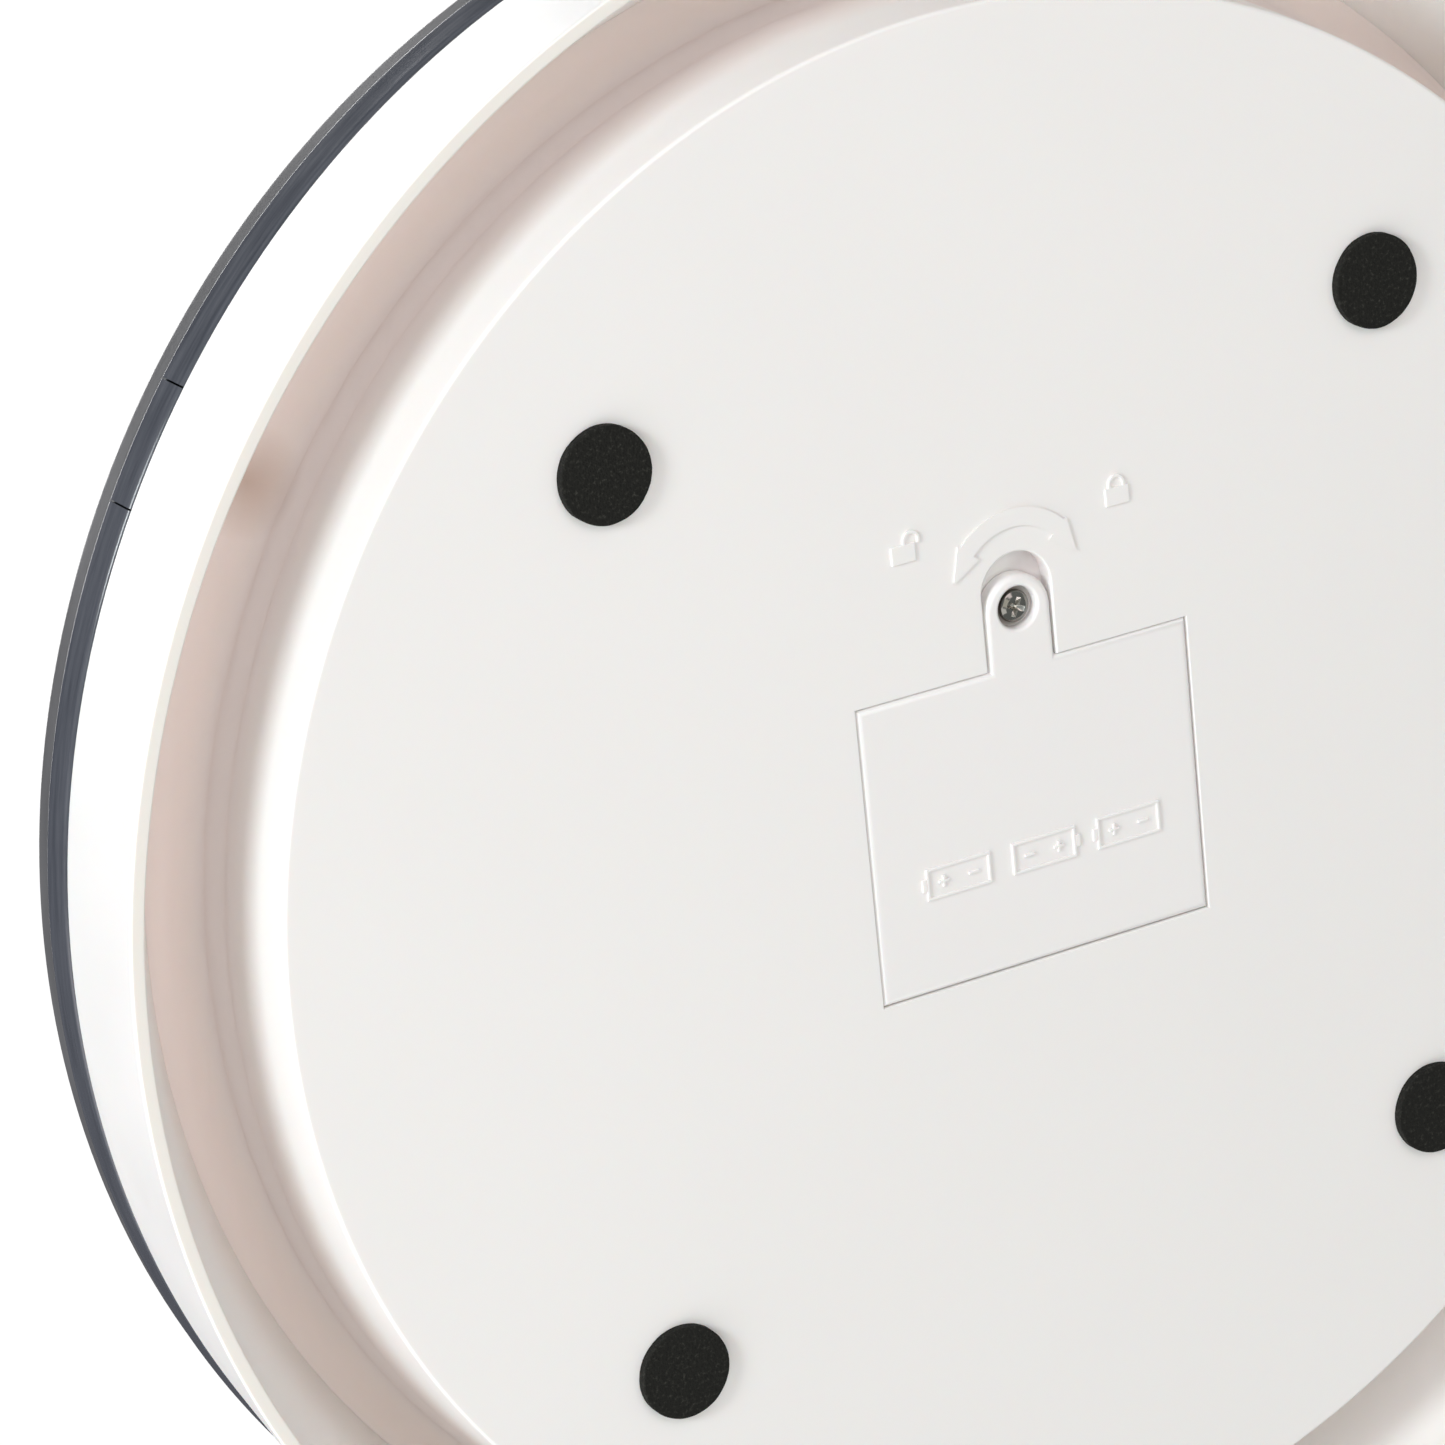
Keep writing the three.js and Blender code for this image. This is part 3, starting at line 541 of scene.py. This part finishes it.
# ---- the base ------------------------------------------------------------------------------------
def base_pan():
    """The flat underside with its side wall, the channel's ceiling and the battery box."""
    inner = 2.2
    corner = Vector((DISC_TOP_R, CEILING_Z))
    foot_of_wall = Vector((DISC_R, FACE_Z))
    bend_start = corner + (foot_of_wall - corner).normalized() * WALL_BEND
    bend_end = corner + Vector((CEILING_BEND, 0))
    outline = rounded([(0, FACE_Z, 0), (*foot_of_wall, 0.6), (*bend_start, 0)], steps=8)
    outline += bend(bend_start, corner, bend_end)
    outline += rounded([
        (FLANGE_R, CEILING_Z, 0), (FLANGE_R, FLANGE_TOP_Z, 0), (DISC_TOP_R + 2.5, FLANGE_TOP_Z, 1.5),
        (DISC_R - inner, 4, 1), (0, 4, 0)])
    pan = to_object("base_pan_shell", revolve(outline), MATERIALS["base_white"])
    join(pan, prism(rectangle(COVER_X, 0, 66, 55), 3.5, 7))
    join(pan, prism(rectangle(COVER_X, 0, BOX_W + 2 * BOX_WALL, BOX_D + 2 * BOX_WALL), 6, BOX_TOP_Z))
    join(pan, prism(tab_outline(17.4, -24, RECESS_Y), 3.5, 6.5))
    join(pan, prism(arc(COVER_X, TAB_Y, POST_R, 0, 354, 59), 3.5, 13))
    rebate = rectangle(COVER_X, 0, COVER_W + 2 * COVER_GAP, COVER_D + 2 * COVER_GAP)
    cut(pan, prism(rebate, FACE_Z, 4, edge=-0.15))
    cut(pan, prism(rectangle(COVER_X, 0, BOX_W, BOX_D), 3, BOX_TOP_Z - BOX_WALL))
    recess = tab_outline(2 * RECESS_R, -22, RECESS_Y + 0.3)
    cut(pan, prism(recess, FACE_Z, FACE_Z + RECESS_DEPTH, edge=-0.35))
    for side in (-1, 1):
        cut(pan, prism(rectangle(COVER_X + side * TONGUE_X, 25.4, 9, 8), 4, 7.25))
        slot = rectangle(COVER_X + side * CONTACT_X, side * CONTACT_Y, 1.2, 5)
        cut(pan, prism(slot, BOX_TOP_Z - 3, BOX_TOP_Z + 1))
    cut(pan, prism(arc(COVER_X, TAB_Y, 3, 0, 350, 35), 3, 13.5))
    for mark in (turn_arrow(), *padlock(-18.8, -48.2, True), *padlock(19.7, -48.2, False)):
        join(pan, mark)
    keep_flats(pan)
    return finish_piece(pan, "base", "base_white", "base_pan")


def relief(outline):
    """A raised mark on the underside, with a rounded edge."""
    return prism(outline, FACE_Z - MARK_HEIGHT, FACE_Z + 0.3, edge=MARK_EDGE)


def turn_arrow():
    """The double-headed arrow round the recess, which shows that the screw turns both ways."""
    def at(radius, degrees):
        angle = math.radians(degrees)
        return (COVER_X + radius * math.cos(angle), RECESS_Y - radius * math.sin(angle))

    stem = [136 - 92 * i / 24 for i in range(25)]
    points = [at(11.5, 162), at(13.3, 137), *(at(12.8, d) for d in stem), at(13.3, 43), at(11.5, 18),
              at(9.0, 44.5), *(at(10.1, d) for d in reversed(stem)), at(9.0, 135.5)]
    return relief(points[::-1])


def bar(x0, y0, x1, y1, width):
    """The outline of a straight stroke between two points, anticlockwise."""
    along = (Vector((x1, y1)) - Vector((x0, y0))).normalized() * (width / 2)
    side = Vector((along.y, -along.x))
    start = Vector((x0, y0)) - along
    end = Vector((x1, y1)) + along
    return [tuple(p) for p in (start + side, end + side, end - side, start - side)]


def frame_outline(x, y, width, depth, stroke):
    """Four strokes that make a rectangle's border."""
    w, d = (width - stroke) / 2, (depth - stroke) / 2
    return [bar(x - w, y - d, x + w, y - d, stroke), bar(x - w, y + d, x + w, y + d, stroke),
            bar(x - w, y - d + stroke, x - w, y + d - stroke, stroke),
            bar(x + w, y - d + stroke, x + w, y + d - stroke, stroke)]


def padlock(x, y, is_open):
    """A padlock mark. Its shackle points to -Y, and is swung aside where it is open."""
    radius, stroke = 1.55, 0.5
    middle = x + (radius if is_open else 0)
    end, loose_end = y + 0.2, y + (-0.1 if is_open else 0.2)
    shackle = [*arc(middle, y - 0.7, radius, 180, 360, 16),
               (middle + radius, loose_end), (middle + radius - stroke, loose_end),
               *arc(middle, y - 0.7, radius - stroke, 360, 180, 16),
               (middle - radius + stroke, end), (middle - radius, end)]
    return [relief(rectangle(x, y + 1.2, 4.2, 2.9)), relief(shackle)]


def skirt():
    """The double-walled skirt: its sloping inner wall, the rounded lip and the outer wall."""
    points = rounded([
        (SKIRT_IN_R, CEILING_Z, 0), (LIP_IN_R, LIP_Z + 0.05, 0.35), (LIP_OUT_R, LIP_Z, 0.4),
        (RIM_R, RIM_Z, 0.5), (RIM_R - SKIRT_WALL, RIM_Z, 0.3), (RIM_R - SKIRT_WALL + 1.75, 13.5, 0.4),
        (SKIRT_IN_R + SKIRT_WALL, RIM_Z, 0.4), (134.5, RIM_Z, 0.2), (134.5, FLANGE_TOP_Z, 0.1),
        (SKIRT_IN_R, FLANGE_TOP_Z, 0),
    ], closed=True)
    ring = to_object("skirt_ring_shell", revolve(points, closed=True), SKIRT_WHITE, OUTER_WHITE)
    for face in ring.data.polygons:
        if face.normal.to_2d().dot(face.center.to_2d().normalized()) > 0.4:
            face.material_index = 1
    return finish_piece(ring, "base", "base_white", "skirt_ring")


def foot(index):
    """A die-cut foam pad: a slightly uneven rim, a crowned rim edge and a skin that isn't quite flat."""
    name = f"foam_foot_{index}"
    low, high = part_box(name)
    middle = (low + high) / 2 / MM
    radius, top = (high.x - low.x) / 2 / MM + 0.12, high.z / MM
    profile = [(radius * i / 12, 0) for i in range(12)]
    profile += rounded([(radius * 11.3 / 12, 0, 0), (radius, 0, 0.22), (radius, top, 0)], steps=4)[1:]
    profile += [(radius * 0.9, top), (0, top)]
    bm = revolve(profile, steps=96)
    for vert in bm.verts:
        spot = Vector((vert.co.x, vert.co.y, index * 31.0))
        out = Vector((vert.co.x, vert.co.y, 0))
        if out.length > radius * 0.9:
            waver = 0.07 * noise.noise(spot * 0.35) + 0.03 * noise.noise(spot * 2.5)
            vert.co += out.normalized() * (waver - 0.06)
        if vert.co.z < top / 2:
            vert.co.z += 0.05 * abs(noise.noise(spot * 0.8))
    bmesh.ops.translate(bm, verts=bm.verts, vec=(middle.x, middle.y, 0))
    pad = to_object(f"foam_pad_{index}", bm, MATERIALS["foot_foam"], degrees=50)
    return finish_piece(pad, "base", "foot_foam", name)


# ---- the battery cover and its screw -------------------------------------------------------------
def battery_cover():
    """The cover with its ribs, its two tongues, the tab and the dish of the screw."""
    face = rectangle(COVER_X, 0, COVER_W, COVER_D)
    cover = to_object("battery_cover_panel", prism(face, FACE_Z, FACE_Z + COVER_T, edge=1.05),
                      MATERIALS["cover_white"])
    tab = tab_outline(TAB_W, -COVER_D / 2 + 4, TAB_Y + 0.6)
    join(cover, prism(tab, FACE_Z, FACE_Z + TAB_T, edge=0.9))
    for x in (-16, 16):
        join(cover, prism(rectangle(COVER_X + x, 0, 1.6, 40), 3.5, 4.4))
    for x in (-TONGUE_X, TONGUE_X):
        join(cover, prism(rectangle(COVER_X + x, 22, 8, 2.4), 3.5, 5.5))
        join(cover, prism(rectangle(COVER_X + x, 24.45, 8, 6.1), 4.3, 5.5))
    mouth_r, edge = 3.4, 0.6
    rim = [(mouth_r + edge * (1 - math.sin(a)), FACE_Z + edge * (1 - math.cos(a)))
           for a in (0, 0.3, 0.6, 0.9, 1.2, 1.5)]
    dish = revolve([(0, 0.5), (mouth_r + edge, 0.5), *rim, (3.25, 3.3), (0, 3.3)], steps=SMALL_STEPS)
    bmesh.ops.translate(dish, verts=dish.verts, vec=(COVER_X, TAB_Y, 0))
    cut(cover, dish)
    cut(cover, prism(arc(COVER_X, TAB_Y, 1.5, 0, 350, 35), 2.5, 5))
    for i in range(3):
        for mark in battery_mark(COVER_X + 0.8 + (i - 1) * 15.6, 6.6, 1 if i % 2 else -1):
            join(cover, mark)
    keep_flats(cover)
    return finish_piece(cover, "cover", "cover_white", "battery_cover")


def battery_mark(x, y, sign):
    """A small drawing of a cell: its case, its positive end, and a plus and a minus."""
    stroke = 0.45
    strokes = frame_outline(x, y, 11.6, 5.2, stroke)
    strokes.append(rectangle(x + sign * 6.2, y, 0.8, 2.0))
    strokes.append(bar(x + sign * 2.0, y, x + sign * 3.4, y, stroke))
    strokes.append(bar(x + sign * 2.7, y - 0.7, x + sign * 2.7, y - stroke / 2 - 0.02, stroke))
    strokes.append(bar(x + sign * 2.7, y + stroke / 2 + 0.02, x + sign * 2.7, y + 0.7, stroke))
    strokes.append(bar(x - sign * 3.4, y, x - sign * 2.0, y, stroke))
    return [relief(outline) for outline in strokes]


def battery_screw():
    """A nickel-plated pan-head screw with a cross recess. Painted light: the head is a darker copy of the
    nickel, the recess the brighter nickel.
    """
    top, seat, tip = 2.0, 3.15, 11.5
    head = rounded([(0, top, 0), (1.7, top + 0.03, 0.6), (2.6, top + 0.5, 0.5), (2.6, seat, 0.1),
                    (1.1, seat, 0.05), (1.1, 10.3, 0.2), (0.3, tip, 0.1), (0, tip, 0)])
    # Painted shade: the head's nickel is made far darker than the plating is.
    painted_dark_nickel = metal("screw_nickel_painted_dark", (0.23, 0.222, 0.205), 0.13, scale=700)
    screw = to_object("battery_screw_head", revolve(head, steps=SMALL_STEPS), painted_dark_nickel)
    for angle in (0, 90):
        slot = bmesh.new()
        levels = [(top - 0.3, 1.9, 0.56), (top + 0.9, 0.75, 0.14), (top + 1.1, 0.3, 0.1)]
        signs = ((-1, -1), (1, -1), (1, 1), (-1, 1))
        loops = [[slot.verts.new((sx * w, sy * t, z)) for sx, sy in signs] for z, w, t in levels]
        for low, high in zip(loops, loops[1:]):
            for i in range(4):
                slot.faces.new((low[i], low[(i + 1) % 4], high[(i + 1) % 4], high[i]))
        slot.faces.new(loops[0])
        slot.faces.new(loops[-1])
        bmesh.ops.rotate(slot, verts=slot.verts, matrix=Matrix.Rotation(math.radians(angle + 24), 3, "Z"))
        cut(screw, slot)
    cone = revolve([(0, top - 0.3), (0.75, top - 0.3), (0.45, top + 0.35), (0, top + 1.1)], steps=24)
    cut(screw, cone)
    screw.data.materials.append(MATERIALS["nickel"])
    # Painted highlight: the faces inside the cross recess take the brighter nickel.
    for face in screw.data.polygons:
        inside = face.center.to_2d().length < 1.7 * MM
        if inside and (top + 0.06) * MM < face.center.z < (seat + 0.05) * MM:
            face.material_index = 1
    for vert in screw.data.vertices:
        vert.co += Vector((COVER_X * MM, TAB_Y * MM, 0))
    return finish_piece(screw, "screw", "nickel", "battery_screw")


# ---- the platform --------------------------------------------------------------------------------
BAND = [(145.6, 35, 0.1), (148.1, 35, 1.1), (148.1, 41.75, 0.25), (145.6, 41.75, 0.1)]
BAND_CUTS = (-150.4, -142.7)     # where the joiner begins and ends, in degrees round +Z


def band_piece(name, start, sweep, node):
    steps = max(8, round(RING_STEPS * sweep / 360))
    bm = revolve(rounded(BAND, closed=True, steps=4), closed=True, steps=steps, start=start, sweep=sweep)
    piece = to_object(name, bm, MATERIALS["trim_grey"])
    return finish_piece(piece, "platform", "trim_grey", node)


def trim():
    """The dark band and its short joiner, with a hairline gap, in degrees, at each end."""
    hairline = 0.11
    low, high = BAND_CUTS
    band_piece("trim_band_ring", high, 360 - (high - low), "trim_band")
    band_piece("trim_band_bridge", low + hairline, high - low - 2 * hairline, "trim_band_joiner")


def glass():
    """The glass disc: clear, with a polished top and bottom and a ground edge."""
    points = rounded([(0, GLASS_Z, 0), (GLASS_R, GLASS_Z, 0.6), (GLASS_R, GLASS_TOP_Z, 0.9),
                      (0, GLASS_TOP_Z, 0)], steps=6)
    disc = to_object("glass_disc", revolve(points), MATERIALS["glass_dark"], ground_edge(), degrees=60)
    for face in disc.data.polygons:
        if Vector(face.center).to_2d().length > (GLASS_R - 1) * MM:
            face.material_index = 1
    return finish_piece(disc, "platform", "glass_dark", "glass_platform")


def back_print():
    """The ink on the underside of the glass, with a clear window for the display."""
    rim, low, high = GLASS_R - 0.4, GLASS_Z - 0.07, GLASS_Z - 0.02
    layer = revolve([(0, low), (rim, low), (rim, high), (0, high)])
    sheet = to_object("glass_back_print", layer, glass_print())
    window = []
    across, along = WINDOW_W / 2 - WINDOW_CORNER, WINDOW_D / 2 - WINDOW_CORNER
    for sx, sy, start in ((1, 1, 0), (-1, 1, 90), (-1, -1, 180), (1, -1, 270)):
        window += arc(sx * across, DISPLAY_Y + sy * along, WINDOW_CORNER, start, start + 90, 6)
    cut(sheet, prism(window, GLASS_Z - 1, GLASS_Z + 1))
    return finish_piece(sheet, "platform", "glass_dark")


def display_digits():
    """Seven-segment figures on the display cell, read from the -Y side: a reading of 0.0."""
    bm = bmesh.new()
    half_w, half_h, thick = 4.2, 4.6, 1.5
    ink_z = (GLASS_Z - 0.26, GLASS_Z - 0.2)
    segments = [(0, 2 * half_h, 0), (half_w, half_h, 90), (half_w, -half_h, 90),
                (0, -2 * half_h, 0), (-half_w, -half_h, 90), (-half_w, half_h, 90)]
    for x in (-10, 8):
        for sx, sy, angle in segments:
            reach = (half_w if angle == 0 else half_h) - 0.35
            taper = reach - thick / 2
            outline = [(-reach, 0), (-taper, -thick / 2), (taper, -thick / 2), (reach, 0),
                       (taper, thick / 2), (-taper, thick / 2)]
            if angle:
                outline = [(-py, px) for px, py in outline]
            place = [(x + sx + px, DISPLAY_Y + sy + py) for px, py in outline]
            merge(bm, prism(place, *ink_z))
    merge(bm, prism(rectangle(-1, DISPLAY_Y - 8.6, 1.9, 1.9), *ink_z))
    ink = moulded_plastic("lcd_ink", (0.02, 0.024, 0.02), 0.3, grain=0.001)
    return finish_piece(to_object("display_digits", bm, ink), "platform", "lcd_grey")


def merge(target, source):
    """Copies one bmesh's faces into another."""
    copies = {vert: target.verts.new(vert.co) for vert in source.verts}
    for face in source.faces:
        target.faces.new([copies[vert] for vert in face.verts])
    source.free()


# ---- what shows with the cover open --------------------------------------------------------------
def cell(index):
    """An AA cell with a plain sleeve: a steel can, a crimped end and a pressed positive cap."""
    name = f"battery_cell_{index}"
    low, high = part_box(name)
    middle = (low + high) / 2 / MM
    half = (high.x - low.x) / 2 / MM
    sign = 1 if index == 2 else -1
    profile = rounded([
        (0, -half, 0), (5.4, -half, 0.3), (5.9, -half + 0.3, 0.2), (6.6, -half, 0.3),
        (7.1, -half + 0.6, 0.4), (7.1, half - 1.6, 0.4), (6.5, half - 1.0, 0.3),
        (2.75, half - 1.15, 0.2), (2.6, half, 0.5), (0, half, 0)], steps=4)
    bm = revolve(profile, steps=72)
    bmesh.ops.rotate(bm, verts=bm.verts, matrix=Matrix.Rotation(math.radians(90 * sign), 3, "Y"))
    bmesh.ops.translate(bm, verts=bm.verts, vec=middle)
    can = to_object(f"aa_cell_{index}", bm, MATERIALS["cell_wrap"], MATERIALS["nickel"], band_gold())
    for face in can.data.polygons:
        along = (face.center.x / MM - middle.x) * sign
        radius = math.hypot(face.center.y / MM - middle.y, face.center.z / MM - middle.z)
        if radius < 6.3:
            face.material_index = 1
        elif along > half - 15:
            face.material_index = 2
    return finish_piece(can, "base", "cell_wrap", name)


def band_gold():
    """The gold band on a cell's sleeve: one material for all the cells."""
    made = bpy.data.materials.get("cell_band")
    return made or metal("cell_band", (0.62, 0.40, 0.16), 0.3, stretch=(1, 6, 6), scale=250)


# ---- camera, light and floor ---------------------------------------------------------------------
def camera():
    data = bpy.data.cameras.new("camera")
    data.sensor_width = 36
    data.lens = 155.5
    data.clip_end = 20
    eye = bpy.data.objects.new("camera", data)
    bpy.context.scene.collection.objects.link(eye)
    place = Vector((-458.1, -342.8, -779.4)) * MM
    target = Vector((-52.3, -28.7, 1.5)) * MM
    up_hint = Vector((0.2474, -0.9366, 0.2482))
    back = (place - target).normalized()
    right = up_hint.cross(back).normalized()
    turn = Matrix((right, back.cross(right), back)).transposed().to_4x4()
    eye.matrix_world = Matrix.Translation(place) @ turn
    bpy.context.scene.camera = eye


LAMP_TARGET = Vector((0, 0, 0.02))


def softbox(name, direction, distance, size, power, color=(1, 1, 1)):
    """A square lamp that stands in a direction from the scale and faces it. Lengths are metres."""
    data = bpy.data.lights.new(name, "AREA")
    data.shape = "SQUARE"
    data.size = size
    data.energy = power
    data.color = color
    lamp = bpy.data.objects.new(name, data)
    bpy.context.scene.collection.objects.link(lamp)
    aim = Vector(direction).normalized()
    lamp.location = LAMP_TARGET + aim * distance
    lamp.rotation_mode = "QUATERNION"
    lamp.rotation_quaternion = aim.to_track_quat("Z", "Y")


# The room's light by how steeply a direction rises: -1 is straight down and 1 straight up.
ROOM = [(-0.1, (0.377, 0.405, 0.40)), (0.08, (0.86, 0.84, 0.84)), (0.3, (0.86, 0.84, 0.84)),
        (0.55, (0.09, 0.09, 0.10))]


def studio():
    """A surround that is plain white to the camera and lights the scale as ROOM says."""
    world = bpy.data.worlds.new("studio")
    bpy.context.scene.world = world
    world.use_nodes = True
    nodes, links = world.node_tree.nodes, world.node_tree.links
    nodes.clear()
    seen, light = nodes.new("ShaderNodeBackground"), nodes.new("ShaderNodeBackground")
    seen.inputs["Color"].default_value = (1, 1, 1, 1)
    seen.inputs["Strength"].default_value = 1.05
    place, split = nodes.new("ShaderNodeTexCoord"), nodes.new("ShaderNodeSeparateXYZ")
    height, ramp = nodes.new("ShaderNodeMapRange"), nodes.new("ShaderNodeValToRGB")
    height.inputs["From Min"].default_value = -1
    elements = ramp.color_ramp.elements
    for rise, color in ROOM[1:-1]:
        elements.new((rise + 1) / 2)
    for element, (rise, color) in zip(elements, ROOM):
        element.position = (rise + 1) / 2
        element.color = (*color, 1)
    links.new(place.outputs["Generated"], split.inputs["Vector"])
    links.new(split.outputs["Z"], height.inputs["Value"])
    links.new(height.outputs["Result"], ramp.inputs["Fac"])
    links.new(ramp.outputs["Color"], light.inputs["Color"])
    mix, path = nodes.new("ShaderNodeMixShader"), nodes.new("ShaderNodeLightPath")
    out = nodes.new("ShaderNodeOutputWorld")
    links.new(path.outputs["Is Camera Ray"], mix.inputs["Fac"])
    links.new(light.outputs[0], mix.inputs[1])
    links.new(seen.outputs[0], mix.inputs[2])
    links.new(mix.outputs[0], out.inputs["Surface"])
    bpy.context.scene.view_settings.view_transform = "Standard"


def floor():
    """A pale floor under the feet.

    It is seen from above only, and lets light through, so that the underside shows."""
    bm = bmesh.new()
    half = 4000
    corners = [(-half, -half), (half, -half), (half, half), (-half, half)]
    bm.faces.new([bm.verts.new((x, y, -0.02)) for x, y in corners])
    nodes = Nodes("floor")
    nodes.color(nodes.ramp(nodes.noise(3, detail=2), (0.3, (0.80, 0.80, 0.79)), (0.7, (0.83, 0.83, 0.82))))
    nodes.rough(nodes.spread(nodes.noise(20, detail=3), 0.5, 0.6))
    clear = nodes.add("ShaderNodeBsdfTransparent")
    path = nodes.add("ShaderNodeLightPath")
    geometry = nodes.add("ShaderNodeNewGeometry")
    front = nodes.add("ShaderNodeMath", operation="SUBTRACT", use_clamp=True)
    nodes.link(path.outputs["Is Camera Ray"], front.inputs[0])
    nodes.link(geometry.outputs["Backfacing"], front.inputs[1])
    mix = nodes.add("ShaderNodeMixShader")
    nodes.link(front.outputs[0], mix.inputs[0])
    nodes.link(clear.outputs[0], mix.inputs[1])
    nodes.link(nodes.shader.outputs[0], mix.inputs[2])
    nodes.link(mix.outputs[0], nodes.tree.nodes["Material Output"].inputs["Surface"])
    mesh = bpy.data.meshes.new("floor")
    bmesh.ops.scale(bm, verts=bm.verts, vec=(MM, MM, MM))
    bm.to_mesh(mesh)
    bm.free()
    mesh.materials.append(nodes.material)
    plane = bpy.data.objects.new("floor", mesh)
    bpy.context.scene.collection.objects.link(plane)


def toward(azimuth, rise):
    """The direction at an angle round +Z and an angle above the floor, in degrees."""
    a, r = math.radians(azimuth), math.radians(rise)
    return Vector((math.cos(r) * math.cos(a), math.cos(r) * math.sin(a), math.sin(r)))


def lights():
    """A key that rakes across the underside, soft fills from below, and a lamp overhead.

    The key stands so low that the skirt's lip throws its shadow into the channel."""
    softbox("key", toward(204, -19.5), 1.6, 0.37, 12.8, (0.935, 0.985, 1.0))
    softbox("front_fill", toward(204, -82), 1.9, 1.1, 4.0, (0.98, 0.92, 0.80))
    softbox("left_fill", toward(145, -46), 1.8, 1.1, 5.4, (1.0, 0.98, 0.97))
    softbox("side_fill", toward(150, -8), 1.8, 1.1, 10.5, (1.0, 0.93, 0.98))
    softbox("right_fill", toward(265, -47), 1.8, 1.1, 8.4, (1.0, 0.87, 0.90))
    softbox("overhead", Vector((0.05, -0.05, 1)), 1.6, 1.0, 18)


camera()
studio()
floor()
lights()
base_pan()
skirt()
for number in range(1, 5):
    foot(number)
battery_cover()
battery_screw()
trim()
glass()
back_print()
display_digits()
for number in range(1, 4):
    cell(number)
